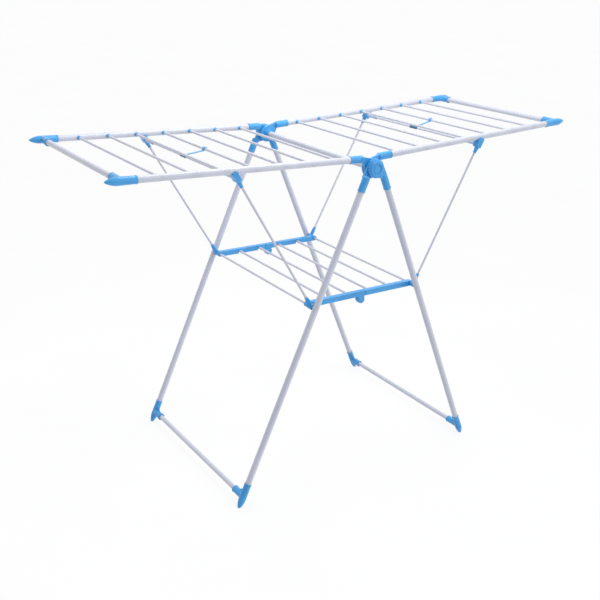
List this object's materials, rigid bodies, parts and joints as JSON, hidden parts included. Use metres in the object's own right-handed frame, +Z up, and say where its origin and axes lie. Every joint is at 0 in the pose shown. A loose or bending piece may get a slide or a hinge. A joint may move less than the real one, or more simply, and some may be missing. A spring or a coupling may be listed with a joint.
{
  "type": "clothes drying rack",
  "caption": "Free-standing folding laundry rack: two slatted wings on a hub axle over crossed leg frames, propped by wire stays, with a small hinged shelf between the legs",
  "frame": {"origin": "the middle of the footprint, on the floor", "axes": "+X runs along the wings to the right, +Y across them to the far side, +Z up"},
  "size_m": [1.5153, 0.603, 1.0044],
  "materials": {
    "frame_tube": "smooth semi-gloss powder coat",
    "cross_tube": "smooth semi-gloss powder coat",
    "rod": "smooth semi-gloss powder coat",
    "stay_wire": "smooth semi-gloss powder coat",
    "hub_plastic": "moulded plastic with a soft satin sheen",
    "corner_plastic": "moulded plastic with a soft satin sheen",
    "foot_plastic": "moulded plastic with a soft satin sheen",
    "shelf_plastic": "moulded plastic with a soft satin sheen"
  },
  "bodies": {
    "left_leg_frame": {"hub_axle": "frame_tube", "left_far_foot": "foot_plastic", "left_far_leg": "frame_tube", "left_far_leg_arm": "hub_plastic", "left_foot_bar": "cross_tube", "left_near_foot": "foot_plastic", "left_near_leg": "frame_tube", "left_near_leg_arm": "hub_plastic", "shelf_left_pivot_rod": "rod"},
    "right_leg_frame": {"right_far_foot": "foot_plastic", "right_far_leg": "frame_tube", "right_far_leg_arm": "hub_plastic", "right_foot_bar": "cross_tube", "right_near_foot": "foot_plastic", "right_near_leg": "frame_tube", "right_near_leg_arm": "hub_plastic"},
    "left_wing": {"left_wing_end_tube": "cross_tube", "left_wing_far_arm": "hub_plastic", "left_wing_far_corner": "corner_plastic", "left_wing_far_rail": "frame_tube", "left_wing_near_arm": "hub_plastic", "left_wing_near_corner": "corner_plastic", "left_wing_near_rail": "frame_tube", "left_wing_rod_1": "rod", "left_wing_rod_2": "rod", "left_wing_rod_3": "rod", "left_wing_rod_4": "rod", "left_wing_rod_5": "rod", "left_wing_rod_6": "rod", "left_wing_rod_7": "rod"},
    "right_wing": {"right_wing_end_tube": "cross_tube", "right_wing_far_arm": "hub_plastic", "right_wing_far_corner": "corner_plastic", "right_wing_far_rail": "frame_tube", "right_wing_near_arm": "hub_plastic", "right_wing_near_corner": "corner_plastic", "right_wing_near_rail": "frame_tube", "right_wing_rod_1": "rod", "right_wing_rod_2": "rod", "right_wing_rod_3": "rod", "right_wing_rod_4": "rod", "right_wing_rod_5": "rod", "right_wing_rod_6": "rod", "right_wing_rod_7": "rod"},
    "left_stay": {"left_stay_crossbar": "rod", "left_stay_far_strut": "stay_wire", "left_stay_near_strut": "stay_wire"},
    "right_stay": {"right_stay_crossbar": "rod", "right_stay_far_strut": "stay_wire", "right_stay_near_strut": "stay_wire"},
    "left_shelf_half": {"shelf_left_far_bar": "shelf_plastic", "shelf_left_near_bar": "shelf_plastic", "shelf_left_rod_1": "rod", "shelf_left_rod_2": "rod"},
    "right_shelf_half": {"shelf_right_far_bar": "shelf_plastic", "shelf_right_near_bar": "shelf_plastic", "shelf_right_pivot_rod": "rod", "shelf_right_rod_1": "rod", "shelf_right_rod_2": "rod"}
  },
  "joints": [
    {"name": "leg_fold", "type": "hinge", "parent": "left_leg_frame", "child": "right_leg_frame", "pos_m": [0, 0, 0.9255], "axis": [0, 1, 0], "range_deg": [0, 46.72]},
    {"name": "left_wing_fold", "type": "hinge", "parent": "left_leg_frame", "child": "left_wing", "pos_m": [0, 0, 0.9255], "axis": [0, -1, 0], "range_deg": [0, 61.04]},
    {"name": "right_wing_fold", "type": "hinge", "parent": "right_leg_frame", "child": "right_wing", "pos_m": [0, 0, 0.9255], "axis": [0, 1, 0], "range_deg": [0, 63.14]},
    {"name": "left_stay_fold", "type": "hinge", "parent": "left_leg_frame", "child": "left_stay", "pos_m": [-0.18224, 0, 0.55652], "axis": [0, -1, 0], "range_deg": [0, 123.6]},
    {"name": "right_stay_fold", "type": "hinge", "parent": "right_leg_frame", "child": "right_stay", "pos_m": [0.18224, 0, 0.55652], "axis": [0, 1, 0], "range_deg": [0, 127.1]},
    {"name": "left_shelf_fold", "type": "hinge", "parent": "left_leg_frame", "child": "left_shelf_half", "pos_m": [-0.18224, 0, 0.55652], "axis": [0, -1, 0], "range_deg": [0, 65.8]},
    {"name": "right_shelf_fold", "type": "hinge", "parent": "left_shelf_half", "child": "right_shelf_half", "pos_m": [0, 0, 0.53852], "axis": [0, 1, 0], "range_deg": [0, 178.2]}
  ],
  "couplings": [
    {"joint": "left_stay_fold", "follows": "left_wing_fold", "ratio": 2.0229},
    {"joint": "right_stay_fold", "follows": "right_wing_fold", "ratio": 2.0114},
    {"joint": "left_shelf_fold", "follows": "leg_fold", "ratio": 1.4062},
    {"joint": "right_shelf_fold", "follows": "leg_fold", "ratio": 3.8123}
  ]
}
